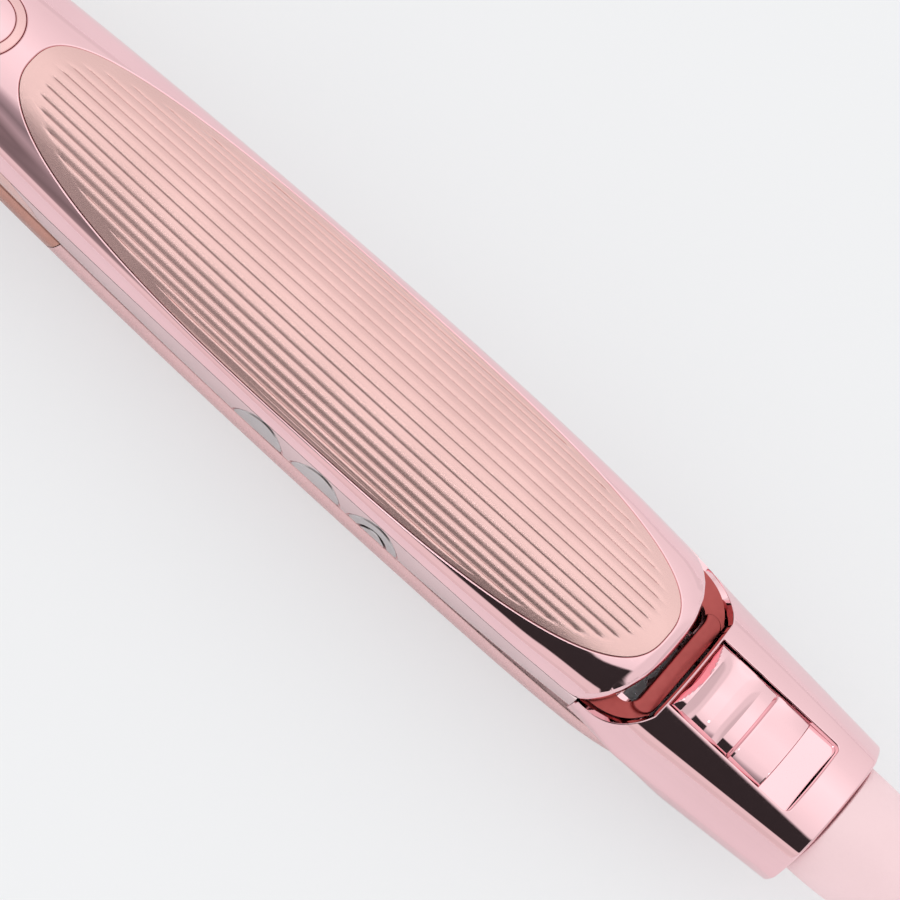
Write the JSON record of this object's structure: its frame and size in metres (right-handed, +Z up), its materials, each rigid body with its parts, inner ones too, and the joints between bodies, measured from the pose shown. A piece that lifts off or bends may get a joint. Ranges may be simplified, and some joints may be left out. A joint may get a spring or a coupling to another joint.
{
  "type": "hair straightener",
  "caption": "Closed hair straightener with sprung hot plates, side buttons, grooved grip inlays, a slide lock in the hinge housing and a swivelling tail sleeve.",
  "frame": {"origin": "centre of the object's footprint, on the surface it lies on", "axes": "+X to the tail, +Y away from the buttons, +Z up through the upper arm"},
  "size_m": [0.31, 0.0345, 0.0352],
  "materials": {
    "pink_plate": "mirror plating with a pink tint",
    "grey_plate": "soft mirror plating with a grey pink tint",
    "rose_satin": "satin rose, fine lengthwise grooves on the grip inlays",
    "brown_satin": "satin red brown",
    "silver_plate": "soft silver plating",
    "dark_resin": "matt",
    "pale_rubber": "matt pale pink",
    "steel": "plain",
    "ceramic": "matt white ceramic",
    "board_green": "solder mask",
    "silicone": "matt",
    "hot_plate": "smooth coated"
  },
  "bodies": {
    "lower_arm": {"lower_outer_shell": "pink_plate", "lower_grip_inlay": "rose_satin", "lower_deck": "grey_plate", "lower_front_cover": "brown_satin", "lower_screws": "steel", "hinge_knuckle": "steel", "power_board": "board_green", "power_parts": "dark_resin", "lower_cushions": "silicone"},
    "upper_arm": {"upper_outer_shell": "pink_plate", "upper_grip_inlay": "rose_satin", "medallion_ring": "pink_plate", "medallion_disc": "rose_satin", "upper_inner_shell": "grey_plate", "upper_front_cover": "rose_satin", "upper_screws": "steel", "upper_cushions": "silicone", "tact_switches": "dark_resin", "control_board": "board_green", "hinge_housing": "pink_plate", "hinge_well_frame": "brown_satin", "slot_floor": "pink_plate", "lock_spring": "steel", "hinge_pin": "steel", "hinge_spring": "steel"},
    "upper_float": {"upper_plate": "hot_plate", "upper_heater": "ceramic", "upper_plate_holder": "dark_resin"},
    "lower_float": {"lower_plate": "hot_plate", "lower_heater": "ceramic", "lower_plate_holder": "dark_resin"},
    "plus": {"button_plus": "silver_plate"},
    "minus": {"button_minus": "silver_plate"},
    "power": {"button_power": "silver_plate"},
    "slide": {"slide_lock": "pink_plate"},
    "tail": {"tail_sleeve": "pale_rubber", "swivel_retainer": "steel"}
  },
  "joints": [
    {"name": "arm_hinge", "type": "hinge", "parent": "lower_arm", "child": "upper_arm", "pos_m": [0.11, 0, 0.0139], "axis": [0, 1, 0], "range_deg": [0, 15]},
    {"name": "upper_plate_float", "type": "slide", "parent": "upper_arm", "child": "upper_float", "axis": [0, 0, 1], "range_m": [0, 0.0008], "stiffness_N_per_m": 2000, "springref_m": -0.001, "deforming": ["upper_cushions"]},
    {"name": "lower_plate_float", "type": "slide", "parent": "lower_arm", "child": "lower_float", "axis": [0, 0, -1], "range_m": [0, 0.0008], "stiffness_N_per_m": 2000, "springref_m": -0.001, "deforming": ["lower_cushions"]},
    {"name": "plus_press", "type": "slide", "parent": "upper_arm", "child": "plus", "axis": [0, 0.9863, 0.165], "range_m": [0, 0.0008], "stiffness_N_per_m": 300, "springref_m": -0.0005},
    {"name": "minus_press", "type": "slide", "parent": "upper_arm", "child": "minus", "axis": [0, 0.9863, 0.165], "range_m": [0, 0.0008], "stiffness_N_per_m": 300, "springref_m": -0.0005},
    {"name": "power_press", "type": "slide", "parent": "upper_arm", "child": "power", "axis": [0, 0.9863, 0.165], "range_m": [0, 0.0008], "stiffness_N_per_m": 300, "springref_m": -0.0005},
    {"name": "lock_slide", "type": "slide", "parent": "upper_arm", "child": "slide", "axis": [1, 0, 0], "range_m": [0, 0.005]},
    {"name": "tail_swivel", "type": "hinge", "parent": "upper_arm", "child": "tail", "pos_m": [0.13, 0, 0.0194], "axis": [1, 0, 0], "continuous": true}
  ]
}
